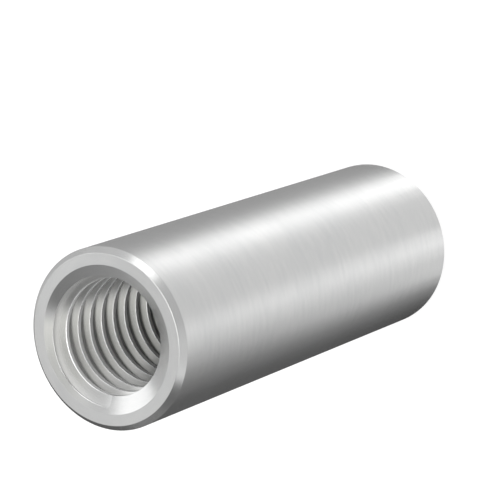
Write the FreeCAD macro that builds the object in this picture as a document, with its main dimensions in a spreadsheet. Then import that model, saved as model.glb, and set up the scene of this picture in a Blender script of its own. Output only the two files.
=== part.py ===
"""Round coupling nut: a steel sleeve, turned and chamfered, drilled through, countersunk at both mouths and tapped
with one metric thread from end to end. It stands on one end, with its axis along +Z and its origin at the middle of
the face that it stands on."""

import FreeCAD
import Part
import Sketcher
import math
import os

SIZES = {
    "overall_length": 46.0,
    "thread_diameter": 12.0,
    "thread_pitch": 1.75,
    "wall_thickness": 2.0,
    "edge_chamfer": 0.5,
    "mouth_margin": 0.5,
    "mouth_angle": 120.0,
    "cutter_overlap": 0.2,
}

# An ISO metric thread has flanks at 30 degrees to the square of its axis. Its sharp triangle is this high for each
# millimetre of pitch. A nut's thread keeps five eighths of that height: a flat of an eighth of the pitch is left
# at the major diameter, and a crest of a quarter of the pitch at the minor diameter.
FLANK_ANGLE = 30.0
TRIANGLE_HEIGHT = math.sqrt(3) / 2
THREAD_DEPTH = f"(0.625 * {TRIANGLE_HEIGHT:.8f} * sizes.thread_pitch)"
ROOT_FLAT = "(sizes.thread_pitch / 8)"
GROOVE_WIDTH = "(sizes.thread_pitch * 3 / 4)"

OUTER_RADIUS = "(sizes.thread_diameter / 2 + sizes.wall_thickness)"
MAJOR_RADIUS = "(sizes.thread_diameter / 2)"
MINOR_RADIUS = f"({MAJOR_RADIUS} - {THREAD_DEPTH})"
MOUTH_RADIUS = f"({MAJOR_RADIUS} + sizes.mouth_margin)"

ORIGIN = (-1, 1)
SKETCH_X_AXIS = -1
SKETCH_Y_AXIS = -2


def add_sheet(doc):
    """The driving sizes, one row each: its name in column A and its value, under that alias, in column B."""
    sheet = doc.addObject("Spreadsheet::Sheet", "sizes")
    for row, (alias, value) in enumerate(SIZES.items(), start=1):
        sheet.set(f"A{row}", alias)
        sheet.set(f"B{row}", str(value))
        sheet.setAlias(f"B{row}", alias)
    doc.recompute()
    return sheet


def add_sketch(body, name, plane):
    """An empty sketch on one of the body's own origin planes."""
    planes = {feature.Role: feature for feature in body.Origin.OriginFeatures}
    sketch = body.newObject("Sketcher::SketchObject", name)
    sketch.AttachmentSupport = [(planes[plane], "")]
    sketch.MapMode = "FlatFace"
    return sketch


def draw_outline(sketch, corners):
    """A closed outline of straight edges through roughly placed corners. The constraints then give its sizes."""
    first = sketch.GeometryCount
    for index, corner in enumerate(corners):
        following = corners[(index + 1) % len(corners)]
        start = FreeCAD.Vector(corner[0], corner[1], 0)
        end = FreeCAD.Vector(following[0], following[1], 0)
        sketch.addGeometry(Part.LineSegment(start, end), False)
    edges = list(range(first, first + len(corners)))
    for edge, following in zip(edges, edges[1:] + edges[:1]):
        sketch.addConstraint(Sketcher.Constraint("Coincident", edge, 2, following, 1))
    return edges


def tie(sketch, kind, *elements):
    """A constraint without a size, such as Vertical or Coincident."""
    sketch.addConstraint(Sketcher.Constraint(kind, *elements))


def measure(sketch, name, kind, start, end, expression):
    """A named size between two points, each given as (edge, end of that edge). It starts as it is drawn, and then
    follows an expression."""
    gap = sketch.getPoint(*end) - sketch.getPoint(*start)
    drawn = gap.x if kind == "DistanceX" else gap.y
    index = sketch.addConstraint(Sketcher.Constraint(kind, *start, *end, drawn))
    sketch.renameConstraint(index, name)
    sketch.setExpression(f"Constraints.{name}", expression)


def turn_bar(body):
    """The bar between its two faces, with its chamfered edges, turned from half of its section."""
    sketch = add_sketch(body, "bar_section", "XZ_Plane")
    corners = [(0, 0), (7, 0), (8, 1), (8, 45), (7, 46), (0, 46)]
    bottom, low_chamfer, side, high_chamfer, top, axis = draw_outline(sketch, corners)
    tie(sketch, "Coincident", bottom, 1, *ORIGIN)
    for edge in (bottom, top):
        tie(sketch, "Horizontal", edge)
    for edge in (side, axis):
        tie(sketch, "Vertical", edge)
    measure(sketch, "radius", "DistanceX", ORIGIN, (side, 1), OUTER_RADIUS)
    measure(sketch, "length", "DistanceY", ORIGIN, (top, 2), "sizes.overall_length")
    measure(sketch, "low_width", "DistanceX", (low_chamfer, 1), (low_chamfer, 2), "sizes.edge_chamfer")
    measure(sketch, "low_height", "DistanceY", (low_chamfer, 1), (low_chamfer, 2), "sizes.edge_chamfer")
    measure(sketch, "high_width", "DistanceX", (high_chamfer, 2), (high_chamfer, 1), "sizes.edge_chamfer")
    measure(sketch, "high_height", "DistanceY", (high_chamfer, 1), (high_chamfer, 2), "sizes.edge_chamfer")
    bar = body.newObject("PartDesign::Revolution", "bar")
    bar.Profile = sketch
    bar.ReferenceAxis = (sketch, ["V_Axis"])
    bar.Angle = 360
    return bar


def countersink_mouths(body):
    """A cone cut into each face, wider there than the thread, with its point on the axis."""
    sketch = add_sketch(body, "mouth_section", "XZ_Plane")
    depth = f"({MOUTH_RADIUS} / tan(sizes.mouth_angle * 1deg / 2))"
    low_face, low_cone, low_axis = draw_outline(sketch, [(0, 0), (6, 0), (0, 4)])
    high_cone, high_face, high_axis = draw_outline(sketch, [(0, 42), (6, 46), (0, 46)])
    tie(sketch, "Coincident", low_face, 1, *ORIGIN)
    tie(sketch, "PointOnObject", high_cone, 1, SKETCH_Y_AXIS)
    for edge in (low_face, high_face):
        tie(sketch, "Horizontal", edge)
    for edge in (low_axis, high_axis):
        tie(sketch, "Vertical", edge)
    measure(sketch, "low_radius", "DistanceX", ORIGIN, (low_cone, 1), MOUTH_RADIUS)
    measure(sketch, "low_depth", "DistanceY", ORIGIN, (low_cone, 2), depth)
    measure(sketch, "high_radius", "DistanceX", ORIGIN, (high_cone, 2), MOUTH_RADIUS)
    measure(sketch, "high_depth", "DistanceY", (high_cone, 1), (high_cone, 2), depth)
    measure(sketch, "high_place", "DistanceY", ORIGIN, (high_face, 2), "sizes.overall_length")
    mouths = body.newObject("PartDesign::Groove", "mouths")
    mouths.Profile = sketch
    mouths.ReferenceAxis = (sketch, ["V_Axis"])
    mouths.Angle = 360
    return mouths


def drill_hole(body):
    """The tapping hole, right through at the thread's minor diameter. Its circle is drawn as four quarter arcs, so
    each turn of the crest that the tap leaves is four short faces and not one that winds all the way round."""
    sketch = add_sketch(body, "hole_circle", "XY_Plane")
    quarter = math.pi / 2
    circle = Part.Circle(FreeCAD.Vector(0, 0, 0), FreeCAD.Vector(0, 0, 1), 5)
    arcs = []
    for index in range(4):
        arc = Part.ArcOfCircle(circle, index * quarter, (index + 1) * quarter)
        arcs.append(sketch.addGeometry(arc, False))
    for arc, following in zip(arcs, arcs[1:] + arcs[:1]):
        tie(sketch, "Coincident", arc, 2, following, 1)
        tie(sketch, "PointOnObject", arc, 1, SKETCH_X_AXIS if arc % 2 == 0 else SKETCH_Y_AXIS)
    for arc in arcs[:-1]:
        tie(sketch, "Coincident", arc, 3, *ORIGIN)
    tie(sketch, "Equal", arcs[0], arcs[-1])
    radius = sketch.addConstraint(Sketcher.Constraint("Radius", arcs[0], 5.0))
    sketch.renameConstraint(radius, "radius")
    sketch.setExpression("Constraints.radius", MINOR_RADIUS)
    hole = body.newObject("PartDesign::Pocket", "hole")
    hole.Profile = sketch
    hole.Type = "ThroughAll"
    hole.Midplane = True
    hole.Refine = False
    return hole


def tap_thread(body):
    """The groove that a tap cuts, carried up a right-hand helix from one pitch below the nut to one above it."""
    sketch = add_sketch(body, "groove_section", "XZ_Plane")
    corners = [(4.8, -2.5), (6, -1.9), (6, -1.6), (4.8, -1)]
    low_flank, root, high_flank, mouth = draw_outline(sketch, corners)
    for edge in (root, mouth):
        tie(sketch, "Vertical", edge)
    tie(sketch, "Equal", low_flank, high_flank)
    overlap_width = f"2 * sizes.cutter_overlap * tan({FLANK_ANGLE}deg)"
    measure(sketch, "root_radius", "DistanceX", ORIGIN, (root, 1), MAJOR_RADIUS)
    measure(sketch, "mouth_radius", "DistanceX", ORIGIN, (mouth, 1), f"{MINOR_RADIUS} - sizes.cutter_overlap")
    measure(sketch, "root_width", "DistanceY", (root, 1), (root, 2), ROOT_FLAT)
    measure(sketch, "mouth_width", "DistanceY", (mouth, 2), (mouth, 1), f"{GROOVE_WIDTH} + {overlap_width}")
    measure(sketch, "root_drop", "DistanceY", (root, 2), ORIGIN, f"sizes.thread_pitch - {ROOT_FLAT} / 2")
    thread = body.newObject("PartDesign::SubtractiveHelix", "thread")
    thread.Profile = sketch
    thread.ReferenceAxis = (sketch, ["V_Axis"])
    thread.Mode = "pitch-height-angle"
    thread.LeftHanded = False
    thread.Refine = False
    thread.setExpression("Pitch", "sizes.thread_pitch")
    thread.setExpression("Height", "sizes.overall_length + 2 * sizes.thread_pitch")
    return thread


def check(doc, body, steps):
    """Stops if anything failed, if a cut took nothing away, or if the nut isn't one valid solid."""
    for item in doc.Objects:
        if "Invalid" in item.State or "Error" in item.State:
            raise RuntimeError(f"{item.Label} failed: {item.State}")
    for before, after in zip(steps, steps[1:]):
        if after.Shape.Volume >= before.Shape.Volume:
            raise RuntimeError(f"{after.Label} took nothing away")
    if body.Shape.isNull() or not body.Shape.isValid() or len(body.Shape.Solids) != 1:
        raise RuntimeError(f"{body.Label} isn't one valid solid")


doc = FreeCAD.newDocument("coupling_nut")
add_sheet(doc)
nut = doc.addObject("PartDesign::Body", "coupling_nut")
nut.Label = "coupling_nut"
nut.Placement = FreeCAD.Placement()
steps = []
for make in (turn_bar, countersink_mouths, drill_hole, tap_thread):
    steps.append(make(nut))
    doc.recompute()
check(doc, nut, steps)

os.makedirs("parts", exist_ok=True)
nut.Shape.exportStep(f"parts/{nut.Label}.step")
print(f"{nut.Label}: {nut.Shape.Volume:.1f} mm3, {len(nut.Shape.Faces)} faces")
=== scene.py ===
import math

import bmesh
import bpy
import numpy as np
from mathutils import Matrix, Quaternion, Vector


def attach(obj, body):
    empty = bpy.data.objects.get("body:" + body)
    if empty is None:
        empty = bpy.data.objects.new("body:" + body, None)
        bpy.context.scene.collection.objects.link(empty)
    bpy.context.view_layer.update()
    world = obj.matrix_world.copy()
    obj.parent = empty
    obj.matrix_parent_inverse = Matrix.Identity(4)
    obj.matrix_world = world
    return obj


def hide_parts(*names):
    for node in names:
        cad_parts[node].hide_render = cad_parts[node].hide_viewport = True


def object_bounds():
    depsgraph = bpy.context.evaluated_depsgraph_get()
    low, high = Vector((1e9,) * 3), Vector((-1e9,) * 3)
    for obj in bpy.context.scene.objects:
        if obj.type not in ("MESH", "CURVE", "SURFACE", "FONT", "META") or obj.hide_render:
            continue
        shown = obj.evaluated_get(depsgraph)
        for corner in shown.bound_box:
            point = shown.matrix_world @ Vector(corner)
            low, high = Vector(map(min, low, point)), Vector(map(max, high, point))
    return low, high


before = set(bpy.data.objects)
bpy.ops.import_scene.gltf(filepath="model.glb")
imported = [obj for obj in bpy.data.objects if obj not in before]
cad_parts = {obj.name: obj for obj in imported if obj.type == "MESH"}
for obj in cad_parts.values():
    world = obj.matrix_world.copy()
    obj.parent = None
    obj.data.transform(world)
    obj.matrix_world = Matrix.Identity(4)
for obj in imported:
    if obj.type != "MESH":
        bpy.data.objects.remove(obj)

scene = bpy.context.scene
cad_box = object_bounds()

# The nut is one round steel bar, turned and chamfered in a lathe, drilled through, countersunk at both
# mouths and tapped from end to end. At each place on the hole's wall, its radius is the larger of the
# thread's and the countersink's.
LENGTH = cad_box[1].z
OUTER_RADIUS = cad_box[1].x
THREAD_RADIUS = 0.006
PITCH = 0.00175
MOUTH_RADIUS = 0.0065
MOUTH_SLOPE = math.tan(math.radians(60))
CHAMFER = 0.0005

# A nut's thread keeps five eighths of the height of its sharp triangle.
THREAD_DEPTH = 0.625 * math.sqrt(3) / 2 * PITCH
CREST_RADIUS = THREAD_RADIUS - THREAD_DEPTH

# How far each edge's small rounding reaches, and the most that it may take of a side.
MOUTH_EDGE = 0.000001
RIM_EDGE = 0.00003
BARREL_EDGE = 0.000015
CREST_EDGE = 0.000045
ROOT_EDGE = 0.00003
SIDE_SHARE = 0.45

# The outline's direction over the burr that the tap leaves on a crest's edges. It is this far off the axis,
# so the metal there lies nearly level.
BURR = np.array([math.sin(math.radians(74)), math.cos(math.radians(74))])
BURR_TOP = np.array([math.sin(math.radians(84)), math.cos(math.radians(84))])

COLUMNS = 240
BARREL_ROWS = 16
SPARE_TURNS = 2
MERGE_DISTANCE = 0.0000002


def unit(arrow):
    """Each arrow at length 1, and one of no length left as it is."""
    length = np.linalg.norm(arrow, axis=-1, keepdims=True)
    return arrow / np.maximum(length, 1e-12)


def round_corner(before, corner, after, edge):
    """Three points for each sharp corner: where a small arc leaves the side before it, the arc's middle, and
    where the arc joins the side after it. The arc starts one edge length from the corner, or at its share of
    a shorter side. Its middle lies off the corner by that length times the tangent of a quarter of the turn.
    Each point has four numbers: its radius and height, and the direction of the outline there."""
    into = unit(corner - before)
    out = unit(after - corner)
    sides = [np.linalg.norm(corner - end, axis=-1, keepdims=True) for end in (before, after)]
    setback = np.minimum(edge, SIDE_SHARE * np.minimum(*sides))
    turn = np.arccos(np.clip((into * out).sum(-1, keepdims=True), -1, 1))
    middle = corner + unit(out - into) * setback * np.tan(turn / 4)
    points = np.stack([corner - into * setback, middle, corner + out * setback], axis=-2)
    ways = np.stack([into, unit(into + out), out], axis=-2)
    return np.concatenate([points, ways], axis=-1)


def round_all(corners, edges):
    """Each corner of a run between its first and last, rounded by its own edge length."""
    return round_corner(corners[:, :-2], corners[:, 1:-1], corners[:, 2:], np.reshape(edges, (-1, 1)))


def thread_corners(turns):
    """Corners (radius, height) of the thread where it is cut at each share of a turn round the nut. A pitch
    has four: crest end, root start, root end and crest start. The groove's middle climbs one pitch a turn,
    and a few spare turns lie past each end of the nut."""
    count = math.ceil(LENGTH / PITCH) + 2 * SPARE_TURNS
    groove = (np.arange(count) - SPARE_TURNS) * PITCH
    offsets = np.array([-3 / 8, -1 / 16, 1 / 16, 3 / 8]) * PITCH
    radii = np.array([CREST_RADIUS, THREAD_RADIUS, THREAD_RADIUS, CREST_RADIUS])
    heights = (groove[:, None] + offsets).ravel() + turns[:, None] * PITCH
    return np.stack([np.broadcast_to(np.tile(radii, count), heights.shape), heights], axis=-1)


def cut_at_mouth(corners, face, way):
    """The run of corners up to the countersink in the face at that height, where way is 1 for the upper face
    and -1 for the lower. The spare is how far each corner lies outside the cone. It never rises along the
    run, so the wall meets the cone once, at the share of a side where the spare is zero. Corners past it
    gather at the start of the small arc there, whose middle is a burr. The arc comes back apart, in the order
    of the whole run."""
    run = corners[:, ::way]
    spare = run[..., 0] - MOUTH_RADIUS + way * (face - run[..., 1]) * MOUTH_SLOPE
    last = (spare > 0).sum(axis=1)[:, None] - 1
    inner = np.take_along_axis(run, last[..., None], axis=1)
    outer = np.take_along_axis(run, last[..., None] + 1, axis=1)
    inner_spare = np.take_along_axis(spare, last, axis=1)[..., None]
    outer_spare = np.take_along_axis(spare, last + 1, axis=1)[..., None]
    meeting = inner + (outer - inner) * inner_spare / (inner_spare - outer_spare)
    mouth = np.broadcast_to([MOUTH_RADIUS, face], meeting.shape)
    room = SIDE_SHARE * np.linalg.norm(outer - meeting, axis=-1, keepdims=True)
    arc = round_corner(inner, meeting, mouth, np.minimum(ROOT_EDGE, room))[:, 0]
    arc[:, 1, 2:] = BURR
    kept = np.where((spare > 0)[..., None], run, arc[:, :1, :2])
    arc[..., 2:] *= way
    return kept[:, ::way], arc[:, ::way]


def add_burrs(ways):
    """The outline's directions where faces start and where they end, from those at each corner's three
    points. They are the same but for the crests' two edges: over each arc the metal is turned up to the
    burr's direction, and the face between the arc's middle and the crest runs on to the burr's top."""
    start_way = ways.copy()
    end_way = ways.copy()
    start_way[:, 3::4, 0] = BURR_TOP
    start_way[:, 3::4, 1] = BURR
    end_way[:, 3::4, 1] = BURR
    start_way[:, 2::4, 1] = BURR * (-1, 1)
    end_way[:, 2::4, 1] = BURR * (-1, 1)
    end_way[:, 2::4, 2] = BURR_TOP * (-1, 1)
    return start_way, end_way


def hole_section(turns):
    """The hole's outline in three parts: the arc at the lower countersink, the thread, and the arc at the
    upper one. Each point has six numbers: its radius and height, the outline's direction where a face starts
    there, and the one where a face ends there. The two differ at a burr. They also differ where corners have
    gathered: the wall is the cone there, and only the side next to them keeps its own direction."""
    corners, upper = cut_at_mouth(thread_corners(turns), LENGTH, 1)
    corners, lower = cut_at_mouth(corners, 0.0, -1)
    edges = np.resize([ROOT_EDGE, ROOT_EDGE, CREST_EDGE, CREST_EDGE], corners.shape[1] - 2)
    threads = round_all(corners, edges)
    one_run = (len(turns), -1, 2)
    points = threads[..., :2].reshape(one_run)
    start_way, end_way = (ways.reshape(one_run) for ways in add_burrs(threads[..., 2:]))
    gathered = np.repeat((threads[..., 2:] == 0).all(axis=(-1, -2)), 3, axis=1)[..., None]
    below = np.roll(gathered, 1, axis=1)
    above = np.roll(gathered, -1, axis=1)
    high = np.arange(points.shape[1])[:, None] > points.shape[1] / 2
    upper_wall, upper_cone = upper[:, :1, 2:], upper[:, 2:, 2:]
    lower_cone, lower_wall = lower[:, :1, 2:], lower[:, 2:, 2:]
    end_way = np.where(gathered & high, np.where(below, upper_cone, upper_wall), end_way)
    end_way = np.where(gathered & ~high, lower_cone, end_way)
    start_way = np.where(gathered & high, upper_cone, start_way)
    start_way = np.where(gathered & ~high, np.where(above, lower_cone, lower_wall), start_way)
    threads = np.concatenate([points, start_way, end_way], axis=-1)
    lower = np.concatenate([lower, lower[..., 2:]], axis=-1)
    upper = np.concatenate([upper, upper[..., 2:]], axis=-1)
    return lower, threads, upper


def outside_section():
    """The outline from the upper mouth over the ring and the chamfer, down the barrel and in to the lower
    mouth. Its lower half is the upper one turned over. Each point has six numbers, as in the hole."""
    rim = OUTER_RADIUS - CHAMFER
    cone = (CREST_RADIUS, LENGTH - (MOUTH_RADIUS - CREST_RADIUS) / MOUTH_SLOPE)
    ring = ((MOUTH_RADIUS, LENGTH), (rim, LENGTH))
    barrel_top = (OUTER_RADIUS, LENGTH - CHAMFER)
    corners = np.array([[cone, *ring, barrel_top, (OUTER_RADIUS, 0)]])
    upper = round_all(corners, [MOUTH_EDGE, RIM_EDGE, BARREL_EDGE])[0].reshape(-1, 4)
    barrel = np.zeros((BARREL_ROWS, 4))
    barrel[:, 0] = OUTER_RADIUS
    barrel[:, 1] = np.linspace(LENGTH - 2 * CHAMFER, 2 * CHAMFER, BARREL_ROWS)
    barrel[:, 3] = -1
    lower = upper[::-1] * (1, -1, -1, 1) + (0, LENGTH, 0, 0)
    outline = np.concatenate([upper, barrel, lower])
    return np.concatenate([outline, outline[:, 2:]], axis=-1)


def wall_normals(turns, radius, way, climb):
    """Square to the outline's direction and to the way round, which climbs with the thread. The section's
    (outward, upward) becomes (-upward, outward), and the normal leans back along the way round by outward
    times climb over radius."""
    angle = 2 * np.pi * turns
    outward, upward = way[..., 0], way[..., 1]
    lean = -outward * climb / radius
    x = -upward * np.cos(angle) - lean * np.sin(angle)
    y = -upward * np.sin(angle) + lean * np.cos(angle)
    return unit(np.stack([x, y, outward], axis=-1))


def merged(mesh, normals):
    """The mesh with points that lie together made one. Each face's corners keep the normals given here."""
    store = mesh.attributes.new("wall_normal", "FLOAT_VECTOR", "CORNER")
    store.data.foreach_set("vector", normals.astype(np.float32).ravel())
    shape = bmesh.new()
    shape.from_mesh(mesh)
    bmesh.ops.remove_doubles(shape, verts=shape.verts, dist=MERGE_DISTANCE)
    shape.to_mesh(mesh)
    shape.free()
    mesh.shade_smooth()
    kept = np.zeros(len(mesh.loops) * 3, np.float32)
    mesh.attributes["wall_normal"].data.foreach_get("vector", kept)
    mesh.attributes.remove(mesh.attributes["wall_normal"])
    mesh.normals_split_custom_set(kept.reshape(-1, 3))
    return mesh


def nut_mesh(name):
    """The section carried round the axis: x is the radius times the cosine of the angle turned, and y is the
    radius times its sine. The last column lies on the first, with its thread rows one pitch further on, and
    the two are merged. Each face's corners have the wall's own normals there. The UV map has the turn across
    and the distance along the outline, in lengths of the nut, up."""
    turns = np.arange(COLUMNS + 1) / COLUMNS
    lower, threads, upper = hole_section(turns)
    outside = outside_section()
    outside = np.broadcast_to(outside, (len(turns), *outside.shape))
    section = np.concatenate([lower[:, :-1], threads, upper[:, 1:], outside], axis=1)
    climb = np.zeros(section.shape[1])
    climb[lower.shape[1] - 1:][:threads.shape[1]] = PITCH / (2 * np.pi)
    turns = turns[:, None]
    radius, height = section[..., 0], section[..., 1]
    angle = 2 * np.pi * turns
    points = np.stack([radius * np.cos(angle), radius * np.sin(angle), height], axis=-1)
    start_normals = wall_normals(turns, radius, section[..., 2:4], climb)
    end_normals = np.roll(wall_normals(turns, radius, section[..., 4:6], climb), -1, axis=1)
    index = np.arange(radius.size).reshape(radius.shape)
    above = np.roll(index, -1, axis=1)
    faces = np.stack([index[:-1], above[:-1], above[1:], index[1:]], axis=-1).reshape(-1, 4)
    normals = np.stack([start_normals[:-1], end_normals[:-1], end_normals[1:], start_normals[1:]], axis=-2)
    steps = np.hypot(radius - np.roll(radius, 1, axis=1), height - np.roll(height, 1, axis=1))
    along = np.cumsum(steps, axis=1) / LENGTH
    flat = np.stack([np.broadcast_to(turns, along.shape), along], axis=-1).reshape(-1, 2)
    mesh = bpy.data.meshes.new(name)
    mesh.from_pydata(points.reshape(-1, 3), [], faces)
    layer = mesh.uv_layers.new(name="lathe")
    layer.data.foreach_set("uv", flat[faces.ravel()].astype(np.float32).ravel())
    return merged(mesh, normals)


# Bright zinc over the turned steel: a pale grey metal whose soft shine is drawn out round the nut, along the
# tool's fine rings. The faces cut last, at the ends and in the hole, are shinier. Down in the thread, off the
# crests, the metal is a little darker, and it is dull in the roots and on the crests that the drill left.
ZINC = (0.745, 0.745, 0.74, 1)
ZINC_WORN = (0.69, 0.695, 0.695, 1)
ZINC_IN_THREAD = (0.63, 0.63, 0.62, 1)
RINGS_PER_METRE = 2160
FACE_RING_SHARE = 0.8
MARKS_CIRCLE = 3.6
BLOTCHES_PER_METRE = 170
BARREL_ROUGHNESS = 0.25
CUT_ROUGHNESS = 0.22
UNEVENNESS = 0.02
DRAWN_OUT = 0.5
FLANK_DULLNESS = 0.08
ROOT_DULLNESS = 0.8
CREST_DULLNESS = 0.9

# Where most values of one noise lie, and where most sums of two noises do.
BLOTCH_RANGE = (0.35, 0.65)
WEAR_RANGE = (0.65, 1.35)

# Where each finish starts and where it ends, as radii or as distances beyond the countersink's cone.
BARREL_SKIN = (OUTER_RADIUS - 0.00002, OUTER_RADIUS)
CREST_SKIN = (CREST_RADIUS + 0.000001, CREST_RADIUS + 0.000008)
OFF_CREST = (CREST_RADIUS + 0.00005, CREST_RADIUS + 0.00015)
TO_ROOT = (0.0054, THREAD_RADIUS)
BEYOND_CONE = (0.00001, 0.0004)


def start_material(name):
    """A new material, with the nodes and the links that the functions below then add to."""
    material = bpy.data.materials.new(name)
    material.use_nodes = True
    return material, material.node_tree.nodes, material.node_tree.links


def worked_out(operation, first, second):
    """A Math node on two values, each a socket or a plain number."""
    node = nodes.new("ShaderNodeMath")
    node.operation = operation
    for socket, value in zip(node.inputs, (first, second)):
        if isinstance(value, (int, float)):
            socket.default_value = value
        else:
            links.new(value, socket)
    return node.outputs[0]


def ranged(value, low, high, at_low=0.0, at_high=1.0, soft=False):
    """A value carried from one range to another, and held at the ends of it. Soft is a curve that is level at
    both ends."""
    node = nodes.new("ShaderNodeMapRange")
    if soft:
        node.interpolation_type = "SMOOTHSTEP"
    links.new(value, node.inputs["Value"])
    for name, limit in (("From Min", low), ("From Max", high), ("To Min", at_low), ("To Max", at_high)):
        node.inputs[name].default_value = limit
    return node.outputs["Result"]


def mixed(share, first, second):
    """A colour that goes from the first to the second as the share goes from 0 to 1. Each of the two is a
    socket or a plain colour."""
    node = nodes.new("ShaderNodeMix")
    node.data_type = "RGBA"
    links.new(share, node.inputs["Factor"])
    for name, colour in (("A", first), ("B", second)):
        if isinstance(colour, tuple):
            node.inputs[name].default_value = colour
        else:
            links.new(colour, node.inputs[name])
    return node.outputs["Result"]


def noise(place, scale, detail):
    """A cloudy value round 0.5, with this many clouds to a unit of the place and this many finer sizes."""
    node = nodes.new("ShaderNodeTexNoise")
    node.inputs["Scale"].default_value = scale
    node.inputs["Detail"].default_value = detail
    links.new(place, node.inputs["Vector"])
    return node.outputs["Fac"]


def apart(place):
    """The x, y and z of a place."""
    node = nodes.new("ShaderNodeSeparateXYZ")
    links.new(place, node.inputs[0])
    return node.outputs["X"], node.outputs["Y"], node.outputs["Z"]


steel, nodes, links = start_material("zinc_plated_steel")
zinc = nodes["Principled BSDF"]
zinc.inputs["Anisotropic"].default_value = DRAWN_OUT
lathe = nodes.new("ShaderNodeTangent")
lathe.direction_type = "UV_MAP"
lathe.uv_map = "lathe"
links.new(lathe.outputs["Tangent"], zinc.inputs["Tangent"])

place = nodes.new("ShaderNodeTexCoord").outputs["Object"]
x, y, z = apart(place)
radius_squared = worked_out("ADD", worked_out("MULTIPLY", x, x), worked_out("MULTIPLY", y, y))
radius = worked_out("POWER", radius_squared, 0.5)

# The rings change fast along the outline, and slowly round it, where the noise follows a small circle.
ring_place = nodes.new("ShaderNodeCombineXYZ")
along = worked_out("ADD", worked_out("MULTIPLY", radius, FACE_RING_SHARE), z)
round_it = worked_out("DIVIDE", MARKS_CIRCLE, radius)
links.new(worked_out("MULTIPLY", along, RINGS_PER_METRE), ring_place.inputs["X"])
links.new(worked_out("MULTIPLY", x, round_it), ring_place.inputs["Y"])
links.new(worked_out("MULTIPLY", y, round_it), ring_place.inputs["Z"])
rings = noise(ring_place.outputs[0], scale=1, detail=2)
blotches = noise(place, scale=BLOTCHES_PER_METRE, detail=4)

worn = ranged(worked_out("ADD", rings, blotches), *WEAR_RANGE)
roughness = ranged(radius, *BARREL_SKIN, CUT_ROUGHNESS, BARREL_ROUGHNESS)
uneven = ranged(blotches, *BLOTCH_RANGE, -UNEVENNESS, UNEVENNESS)
links.new(worked_out("ADD", roughness, uneven), zinc.inputs["Roughness"])

end_depth = worked_out("MINIMUM", z, worked_out("SUBTRACT", LENGTH, z))
cone_radius = worked_out("SUBTRACT", MOUTH_RADIUS, worked_out("MULTIPLY", end_depth, MOUTH_SLOPE))
beyond_cone = ranged(worked_out("SUBTRACT", radius, cone_radius), *BEYOND_CONE)
in_hole = worked_out("LESS_THAN", radius, MOUTH_RADIUS)
in_thread = worked_out("MULTIPLY", beyond_cone, in_hole)
off_crest = ranged(radius, *OFF_CREST)
to_root = ranged(radius, *TO_ROOT, FLANK_DULLNESS, ROOT_DULLNESS)
on_crest = ranged(radius, *CREST_SKIN, CREST_DULLNESS, 0.0)
darker_in_thread = worked_out("MULTIPLY", in_thread, off_crest)
links.new(mixed(darker_in_thread, mixed(worn, ZINC, ZINC_WORN), ZINC_IN_THREAD), zinc.inputs["Base Color"])
dullness = worked_out("MULTIPLY", in_thread, worked_out("MAXIMUM", to_root, on_crest))
links.new(worked_out("SUBTRACT", 1.0, dullness), zinc.inputs["Metallic"])


def new_object(name, mesh, material):
    """An object at the origin with this mesh and this material."""
    thing = bpy.data.objects.new(name, mesh)
    scene.collection.objects.link(thing)
    mesh.materials.append(material)
    return thing


nut = new_object("coupling_nut_turned", nut_mesh("coupling_nut_turned"), steel)
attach(nut, "root")
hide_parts("coupling_nut")

# The camera has a long lens. It looks down on the standing nut and is rolled over, so that the nut leans as
# it does in the photograph.
VIEW_AZIMUTH = math.radians(175.656)
VIEW_ELEVATION = math.radians(55.536)
VIEW_ROLL = math.radians(-108.19)
VIEW_DISTANCE = 0.24719
AIM = Vector((-0.000706, -0.004458, 0.022749))
LENS = 202.09
SENSOR = 36
NEAREST = 0.01
FURTHEST = 10

camera = bpy.data.objects.new("camera", bpy.data.cameras.new("camera"))
scene.collection.objects.link(camera)
scene.camera = camera
camera.data.lens = LENS
camera.data.sensor_width = SENSOR
camera.data.clip_start = NEAREST
camera.data.clip_end = FURTHEST


def away_from_nut(azimuth, elevation):
    """The direction of length 1 that points out at these two angles."""
    level = math.cos(elevation)
    return Vector((math.cos(azimuth) * level, math.sin(azimuth) * level, math.sin(elevation)))


back = away_from_nut(VIEW_AZIMUTH, VIEW_ELEVATION)
camera.location = AIM + back * VIEW_DISTANCE
camera.rotation_mode = "QUATERNION"
camera.rotation_quaternion = back.to_track_quat("Z", "Y") @ Quaternion((0, 0, 1), VIEW_ROLL)

# The nut stands on white paper, wide enough to reach past every view of it. The camera and the metal see it
# white, mostly by a glow of its own, so the shadow on it is faint. For all other light it is matt paper.
FLOOR_RADIUS = 2.0
FLOOR_DROP = 0.00002
PAPER = (0.8, 0.8, 0.8, 1)
PAPER_SHADE = (0.3, 0.3, 0.3, 1)
PAPER_GLOW = 0.78


def disc_mesh(name, radius, height, count=96):
    """A flat disc that faces up: one round face through a circle of points at one height."""
    angle = np.linspace(0, 2 * np.pi, count, endpoint=False)
    points = np.stack([radius * np.cos(angle), radius * np.sin(angle), np.full(count, height)], axis=-1)
    mesh = bpy.data.meshes.new(name)
    mesh.from_pydata(points, [], [range(count)])
    return mesh


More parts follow.
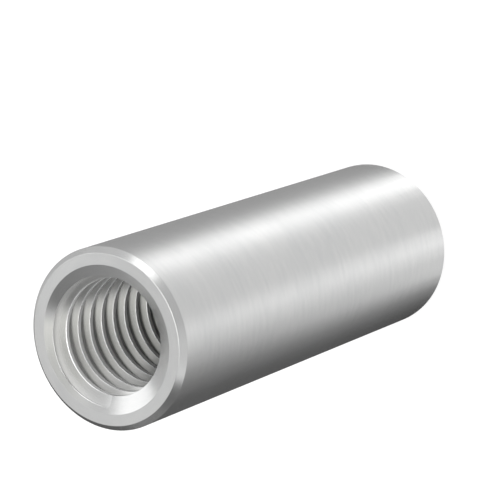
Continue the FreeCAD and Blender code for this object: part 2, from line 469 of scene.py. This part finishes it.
paper, nodes, links = start_material("white_paper")
nodes.clear()
output = nodes.new("ShaderNodeOutputMaterial")
matt = nodes.new("ShaderNodeBsdfDiffuse")
matt.inputs["Color"].default_value = PAPER
shaded = nodes.new("ShaderNodeBsdfDiffuse")
shaded.inputs["Color"].default_value = PAPER_SHADE
glow = nodes.new("ShaderNodeEmission")
glow.inputs["Strength"].default_value = PAPER_GLOW
seen = nodes.new("ShaderNodeAddShader")
links.new(shaded.outputs[0], seen.inputs[0])
links.new(glow.outputs[0], seen.inputs[1])
rays = nodes.new("ShaderNodeLightPath").outputs
looking = worked_out("MAXIMUM", rays["Is Camera Ray"], rays["Is Glossy Ray"])
looking = worked_out("MAXIMUM", looking, rays["Is Transmission Ray"])
mix = nodes.new("ShaderNodeMixShader")
links.new(looking, mix.inputs[0])
links.new(matt.outputs[0], mix.inputs[1])
links.new(seen.outputs[0], mix.inputs[2])
links.new(mix.outputs[0], output.inputs["Surface"])

floor = new_object("floor", disc_mesh("floor", FLOOR_RADIUS, -FLOOR_DROP), paper)

# Bright metal shows only what stands round it, so glowing cards that only the metal sees paint its bands of
# light and shade: they are painted reflections. This one lies on the floor, which the barrel mirrors along
# straight lines that fan out from it. Each tone goes with the degrees round the barrel, from the camera's
# side, where its line starts.
FOOT_TONES = (
    (-180, 0.1), (-69, 0.08), (-59, 0.13), (-49, 0.24), (-41, 0.48), (-36, 0.72), (-31, 0.77), (-25, 0.78),
    (-19, 0.92), (-13, 1.08), (-7, 1.0), (0, 0.78), (12, 0.78), (20, 0.8), (27, 0.98), (33, 1.36), (38, 1.5),
    (44, 1.2), (50, 0.72), (56, 0.49), (63, 0.39), (75, 0.36), (92, 0.3), (180, 0.4),
)
NEAR_TONES = (
    (-180, 0.12), (-92, 0.1), (-60, 0.11), (-50, 0.185), (-39, 0.3), (-30, 0.5), (-21, 0.75), (-12, 0.97),
    (0, 0.74), (14, 0.77), (24, 0.87), (32, 1.25), (37, 1.45), (43, 1.1), (50, 0.58), (58, 0.41), (75, 0.36),
    (92, 0.3), (180, 0.4),
)
FAR_TONES = (
    (-180, 0.12), (-66, 0.12), (-50, 0.2), (-30, 0.55), (60, 0.56), (75, 0.58), (86, 0.56), (90, 0.36),
    (180, 0.32),
)

# How far out along a line the near tones are full, and then the far ones, and where the card ends and starts.
NEAR_REACH = 0.031
FAR_REACH = 0.06
CARD_REACH = 0.8
CARD_GAP = 0.0001


def fan_mesh(name, radius, reach, rays=240, steps=40):
    """A fan of straight lines on the floor. The line from the barrel's point at an angle from the camera's
    side runs out at twice that angle, as the barrel mirrors it, and from the barrel's hidden half the lines
    run straight back. The distance along a line is its reach times the cube of the share of the steps taken.
    The UV map has the first angle across, from 0 to 1, and the share of the reach up."""
    share = np.linspace(0, 1, rays + 1)
    angle = np.radians((share - 0.5) * 360)
    turned = np.clip(2 * angle, -np.pi, np.pi)
    start = radius * np.stack([np.cos(angle), np.sin(angle)], axis=-1)
    way = np.stack([np.cos(turned), np.sin(turned)], axis=-1)
    distance = reach * np.linspace(0, 1, steps + 1) ** 3
    flat = start[:, None] + way[:, None] * distance[:, None]
    x = flat[..., 0] * math.cos(VIEW_AZIMUTH) - flat[..., 1] * math.sin(VIEW_AZIMUTH)
    y = flat[..., 0] * math.sin(VIEW_AZIMUTH) + flat[..., 1] * math.cos(VIEW_AZIMUTH)
    points = np.stack([x, y, np.zeros(x.shape)], axis=-1)
    index = np.arange(x.size).reshape(x.shape)
    faces = np.stack([index[:-1, :-1], index[:-1, 1:], index[1:, 1:], index[1:, :-1]], axis=-1).reshape(-1, 4)
    mesh = bpy.data.meshes.new(name)
    mesh.from_pydata(points.reshape(-1, 3), [], faces)
    flat = np.stack(np.broadcast_arrays(share[:, None], distance / reach), axis=-1).reshape(-1, 2)
    layer = mesh.uv_layers.new(name="fan")
    layer.data.foreach_set("uv", flat[faces.ravel()].astype(np.float32).ravel())
    return mesh


def toned(share, tones):
    """A grey tone, or a colour, for a share of the way from -180 to 180 degrees, with soft steps between
    those that are given."""
    ramp = nodes.new("ShaderNodeValToRGB")
    ramp.color_ramp.interpolation = "EASE"
    stops = ramp.color_ramp.elements
    stops.remove(stops[1])
    for index, (degrees, tone) in enumerate(tones):
        position = (degrees + 180) / 360
        stop = stops.new(position) if index else stops[0]
        stop.position = position
        stop.color = (*np.broadcast_to(tone, 3), 1)
    links.new(share, ramp.inputs["Fac"])
    return ramp.outputs["Color"]


def only_glow(colour):
    """The whole material: it glows in this colour and mirrors nothing."""
    output = nodes.new("ShaderNodeOutputMaterial")
    shine = nodes.new("ShaderNodeEmission")
    links.new(colour, shine.inputs["Color"])
    links.new(shine.outputs[0], output.inputs["Surface"])


def show_to_metal_only(card):
    """The metal mirrors the card, but the camera doesn't see it, and it throws no light or shadow."""
    card.visible_camera = False
    card.visible_diffuse = False
    card.visible_shadow = False
    card.visible_transmission = False


# The floor card's material: painted reflections, glowing tones that only the metal sees.
painted_reflection, nodes, links = start_material("painted_reflection_floor_card")
nodes.clear()
fan = nodes.new("ShaderNodeUVMap")
fan.uv_map = "fan"
turn, distance = apart(fan.outputs["UV"])[:2]
to_near = ranged(distance, 0.0, NEAR_REACH / CARD_REACH)
to_far = ranged(distance, NEAR_REACH / CARD_REACH, FAR_REACH / CARD_REACH, soft=True)
by_the_nut = mixed(to_near, toned(turn, FOOT_TONES), toned(turn, NEAR_TONES))
only_glow(mixed(to_far, by_the_nut, toned(turn, FAR_TONES)))
floor_card = new_object("floor_card", fan_mesh("floor_card", OUTER_RADIUS + CARD_GAP, CARD_REACH), painted_reflection)
show_to_metal_only(floor_card)

# The standing card is a glowing dome round and over the nut, which only the metal sees, so its tones are
# painted reflections. They go round it by degrees from the camera's side, in three bands: at the horizon, on
# the wall and on the ceiling. One band passes into the next between two elevations, given in degrees too.
HORIZON_TONES = (
    (-180, 1.0), (-168, 0.75), (-155, 0.35), (-140, 0.31), (-110, 0.25), (-85, 0.15), (-73, 0.17), (-60, 0.6),
    (-28, 0.72), (0, 0.55), (60, 0.62), (100, 0.64), (124, 0.56), (150, 0.47), (165, 0.62), (180, 1.0),
)
WALL_TONES = (
    (-180, 0.8), (-165, 0.6), (-150, 0.32), (-110, 0.25), (-85, 0.15), (-73, 0.17), (-66, 0.95), (-45, 0.7),
    (-28, 0.72), (0, 0.55), (60, 0.62), (100, 0.64), (124, 0.56), (150, 0.5), (180, 0.8),
)
CEILING_TONES = (
    (-180, 0.7), (-90, 0.64), (-75, 0.75), (-62, (1.0, 1.0, 0.96)), (-40, (0.74, 0.74, 0.71)),
    (0, (0.56, 0.56, 0.54)), (50, (0.58, 0.58, 0.56)), (88, (0.8, 0.8, 0.78)), (102, 2.5), (140, 2.5),
    (153, 0.7), (180, 0.7),
)
DOME_RADIUS = 0.9
DOME_RIM = -20
WALL_START = (8, 20)
CEILING_START = (54, 58)


def dome_mesh(name, radius, rings=48, columns=96):
    """Part of a ball from a little below the floor to its top: a point's height is the radius times the sine
    of its elevation, and its distance from the axis is the radius times the cosine."""
    rise = np.linspace(math.radians(DOME_RIM), math.radians(90), rings)[:, None]
    turn = np.linspace(0, 2 * np.pi, columns, endpoint=False)
    x = radius * np.cos(rise) * np.cos(turn)
    y = radius * np.cos(rise) * np.sin(turn)
    z = radius * np.broadcast_to(np.sin(rise), x.shape)
    points = np.stack([x, y, z], axis=-1)
    index = np.arange(x.size).reshape(x.shape)
    after = np.roll(index, -1, axis=1)
    faces = np.stack([index[:-1], index[1:], after[1:], after[:-1]], axis=-1).reshape(-1, 4)
    mesh = bpy.data.meshes.new(name)
    mesh.from_pydata(points.reshape(-1, 3), [], faces)
    return mesh


def risen(height, elevations):
    """How far a height on the dome has come from the first elevation to the second."""
    low, high = (DOME_RADIUS * math.sin(math.radians(elevation)) for elevation in elevations)
    return ranged(height, low, high, soft=True)


# The dome's material: painted reflections, glowing tones that only the metal sees.
painted_reflection, nodes, links = start_material("painted_reflection_wall_card")
nodes.clear()
place = nodes.new("ShaderNodeTexCoord").outputs["Object"]
turned = nodes.new("ShaderNodeMapping")
turned.inputs["Rotation"].default_value = (0, 0, -VIEW_AZIMUTH)
radial = nodes.new("ShaderNodeTexGradient")
radial.gradient_type = "RADIAL"
links.new(place, turned.inputs["Vector"])
links.new(turned.outputs["Vector"], radial.inputs["Vector"])
turn = radial.outputs["Fac"]
height = apart(place)[2]
wall = mixed(risen(height, WALL_START), toned(turn, HORIZON_TONES), toned(turn, WALL_TONES))
only_glow(mixed(risen(height, CEILING_START), wall, toned(turn, CEILING_TONES)))
wall_card = new_object("wall_card", dome_mesh("wall_card", DOME_RADIUS), painted_reflection)
show_to_metal_only(wall_card)

# The room is plain white, and three soft lamps stand in it. A lamp's azimuth counts from the camera's side,
# and at a brightness of 1 it looks as bright as white paper.
LAMP_DISTANCE = 0.6

world = bpy.data.worlds.new("studio")
scene.world = world
world.use_nodes = True
room = world.node_tree.nodes["Background"]
room.inputs["Color"].default_value = (1, 1, 1, 1)
room.inputs["Strength"].default_value = 1


def softbox(name, azimuth, elevation, width, height, brightness):
    """A flat lamp that faces the nut. Its power is its brightness times pi times its area."""
    lamp = bpy.data.lights.new(name, "AREA")
    lamp.shape = "RECTANGLE"
    lamp.size = width
    lamp.size_y = height
    lamp.energy = brightness * math.pi * width * height
    holder = bpy.data.objects.new(name, lamp)
    scene.collection.objects.link(holder)
    holder.visible_camera = False
    away = away_from_nut(VIEW_AZIMUTH + math.radians(azimuth), math.radians(elevation))
    holder.location = Vector((0, 0, LENGTH / 2)) + away * LAMP_DISTANCE
    holder.rotation_mode = "QUATERNION"
    holder.rotation_quaternion = away.to_track_quat("Z", "Y")


softbox("left_strip", azimuth=62.5, elevation=20, width=0.26, height=0.4, brightness=1.28)
softbox("back_strip", azimuth=134, elevation=24, width=0.4, height=0.28, brightness=0.9)
softbox("overhead", azimuth=0, elevation=90, width=0.28, height=0.28, brightness=2.8)

scene.view_settings.view_transform = "Standard"
